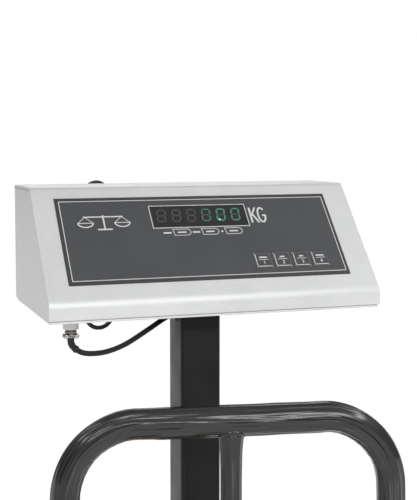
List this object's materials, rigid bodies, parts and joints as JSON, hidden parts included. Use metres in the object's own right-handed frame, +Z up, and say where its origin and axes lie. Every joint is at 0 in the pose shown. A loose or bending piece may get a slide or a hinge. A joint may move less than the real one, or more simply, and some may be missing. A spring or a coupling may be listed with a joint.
{
  "type": "pallet truck scale",
  "caption": "Hand pallet truck with a weigh deck on load cells, a looped steering handle and an indicator head on a square post.",
  "frame": {"origin": "on the floor, under the centre of the truck outline", "axes": "+Z up, +Y along the forks away from the operator, +X to the right of an operator facing the forks"},
  "size_m": [0.54, 1.4516, 1.3876],
  "materials": {
    "cast_paint": "cast iron with satin dark grey enamel",
    "machined_steel": "turned and milled steel, slightly oiled",
    "zinc": "zinc-plated steel, passivated",
    "polyurethane": "cast red polyurethane tread, satin",
    "hub_casting": "grey cast iron hub",
    "bearing_steel": "ground bearing steel",
    "chromed_rod": "hard-chromed ground rod",
    "spring_steel": "blackened spring wire",
    "black_paint": "black powder coat, fine orange peel",
    "lever_plastic": "black moulded nylon",
    "dipped_vinyl": "dipped vinyl coating with lengthwise ripples, glossy",
    "deck_paint": "yellow powder coat, worn by pallets",
    "cell_steel": "nickel-plated load cell",
    "box_plastic": "grey moulded ABS",
    "gloss_black": "glossy black paint",
    "head_sheet": "folded stainless-look sheet with fine satin grain",
    "label_film": "printed polyester film, fine matt texture",
    "window_plastic": "smoked acrylic window",
    "digit_face": "LED digit modules with dark faces",
    "board": "green solder-masked circuit board",
    "connector_chrome": "nickel-chromed connector",
    "connector_dark": "dark nickel plug body",
    "cable_pvc": "black PVC sheath",
    "switch_plastic": "black nylon",
    "rocker_red": "red rocker cap"
  },
  "bodies": {
    "pump": {"pump_housing": "cast_paint", "lift_cylinder": "machined_steel", "filler_plug": "zinc", "steer_axle": "machined_steel", "tiller_pin": "machined_steel"},
    "steer_wheel_left": {"steer_tyre_left": "polyurethane", "steer_hub_left": "hub_casting", "steer_bearings_left": "bearing_steel"},
    "steer_wheel_right": {"steer_tyre_right": "polyurethane", "steer_hub_right": "hub_casting", "steer_bearings_right": "bearing_steel"},
    "ram": {"lift_ram": "chromed_rod", "thrust_bearing": "bearing_steel"},
    "plunger": {"pump_plunger": "chromed_rod", "pump_spring": "spring_steel"},
    "release": {"release_lever": "zinc"},
    "tiller": {"tiller_yoke": "black_paint", "tiller_tube": "black_paint", "pump_roller": "bearing_steel", "release_rod": "zinc", "lever_bracket": "lever_plastic", "handle_loop": "black_paint", "handle_coating": "dipped_vinyl"},
    "lever": {"control_lever": "lever_plastic"},
    "frame": {"chassis": "black_paint", "weigh_deck": "deck_paint", "load_cells": "cell_steel", "load_cell_feet": "machined_steel", "junction_box": "box_plastic", "post": "gloss_black", "frame_bolts": "zinc", "head_bracket": "gloss_black", "head_base": "head_sheet", "head_shell": "head_sheet", "face_label": "label_film", "display_window": "window_plastic", "display_digits": "digit_face", "circuit_boards": "board", "battery": "box_plastic", "cell_socket": "connector_chrome", "cell_plug": "connector_dark", "cell_cable": "cable_pvc", "cable_grommet": "cable_pvc", "power_switch": "switch_plastic", "charger_gland": "switch_plastic", "charger_lead": "cable_pvc", "charger_hank": "cable_pvc", "charger_plug": "switch_plastic", "cable_hook": "head_sheet"},
    "rocker": {"rocker_lever": "machined_steel"},
    "rods": {"push_rods": "machined_steel"},
    "fork_arms": {"roller_forks": "machined_steel"},
    "roller_l": {"roller_left": "polyurethane"},
    "roller_r": {"roller_right": "polyurethane"},
    "mode_key": {"key_mode": "label_film"},
    "tare_key": {"key_tare": "label_film"},
    "hold_key": {"key_hold": "label_film"},
    "zero_key": {"key_zero": "label_film"},
    "ring": {"plug_ring": "connector_chrome"},
    "rocker_switch": {"power_rocker": "rocker_red"}
  },
  "joints": [
    {"name": "lift", "type": "slide", "parent": "pump", "child": "ram", "axis": [0, 0, 1], "range_m": [0, 0.115]},
    {"name": "steer", "type": "hinge", "parent": "ram", "child": "frame", "pos_m": [0, -0.6142, 0.365], "axis": [0, 0, 1], "range_deg": [-100.2, 79.8]},
    {"name": "wheel_left_spin", "type": "hinge", "parent": "pump", "child": "steer_wheel_left", "pos_m": [-0.062, -0.60304, 0.09], "axis": [0.9842, -0.1771, 0], "continuous": true},
    {"name": "wheel_right_spin", "type": "hinge", "parent": "pump", "child": "steer_wheel_right", "pos_m": [0.062, -0.62535, 0.09], "axis": [0.9842, -0.1771, 0], "continuous": true},
    {"name": "tiller_pull", "type": "hinge", "parent": "pump", "child": "tiller", "pos_m": [-0.01063, -0.67325, 0.3], "axis": [0.9842, -0.1771, 0], "range_deg": [0, 80], "stiffness_Nm_per_rad": 22, "springref_deg": -25.78},
    {"name": "control_lever_turn", "type": "hinge", "parent": "tiller", "child": "lever", "pos_m": [-0.01417, -0.69293, 1.036], "axis": [0.9842, -0.1771, 0], "range_deg": [-10, 12]},
    {"name": "release_turn", "type": "hinge", "parent": "pump", "child": "release", "pos_m": [0.03343, -0.69946, 0.19], "axis": [0.9842, -0.1771, 0], "range_deg": [-10, 12]},
    {"name": "plunger_slide", "type": "slide", "parent": "pump", "child": "plunger", "axis": [0, 0, 1], "range_m": [-0.037, 0], "deforming": ["pump_spring"]},
    {"name": "rocker_turn", "type": "hinge", "parent": "frame", "child": "rocker", "pos_m": [0, -0.4542, 0.08484], "axis": [1, 0, 0], "range_deg": [0, 16.6]},
    {"name": "rods_slide", "type": "slide", "parent": "frame", "child": "rods", "axis": [0, 1, 0], "range_m": [0, 0.01731]},
    {"name": "fork_arms_turn", "type": "hinge", "parent": "frame", "child": "fork_arms", "pos_m": [0, 0.6408, 0.05], "axis": [1, 0, 0], "range_deg": [0, 38.73]},
    {"name": "roller_left_spin", "type": "hinge", "parent": "fork_arms", "child": "roller_l", "pos_m": [-0.19, 0.45125, 0.037], "axis": [1, 0, 0], "continuous": true},
    {"name": "roller_right_spin", "type": "hinge", "parent": "fork_arms", "child": "roller_r", "pos_m": [0.19, 0.45125, 0.037], "axis": [1, 0, 0], "continuous": true},
    {"name": "ring_turn", "type": "hinge", "parent": "frame", "child": "ring", "pos_m": [-0.134, -0.5942, 1.265], "axis": [0, 0, 1], "continuous": true},
    {"name": "power_press", "type": "hinge", "parent": "frame", "child": "rocker_switch", "pos_m": [0.09, -0.4642, 1.2965], "axis": [0, 0, 1], "range_deg": [0, 16]},
    {"name": "mode_press", "type": "slide", "parent": "frame", "child": "mode_key", "axis": [0, 0.7593, -0.6508], "range_m": [0, 0.0004], "stiffness_N_per_m": 400},
    {"name": "tare_press", "type": "slide", "parent": "frame", "child": "tare_key", "axis": [0, 0.7593, -0.6508], "range_m": [0, 0.0004], "stiffness_N_per_m": 400},
    {"name": "hold_press", "type": "slide", "parent": "frame", "child": "hold_key", "axis": [0, 0.7593, -0.6508], "range_m": [0, 0.0004], "stiffness_N_per_m": 400},
    {"name": "zero_press", "type": "slide", "parent": "frame", "child": "zero_key", "axis": [0, 0.7593, -0.6508], "range_m": [0, 0.0004], "stiffness_N_per_m": 400}
  ],
  "couplings": [
    {"joint": "plunger_slide", "follows": "tiller_pull", "m_per_rad": -0.025682},
    {"joint": "release_turn", "follows": "control_lever_turn", "ratio": 1},
    {"joint": "rocker_turn", "follows": "lift", "rad_per_m": 2.4887},
    {"joint": "rods_slide", "follows": "lift", "ratio": 0.14881},
    {"joint": "fork_arms_turn", "follows": "lift", "rad_per_m": 5.8322}
  ]
}
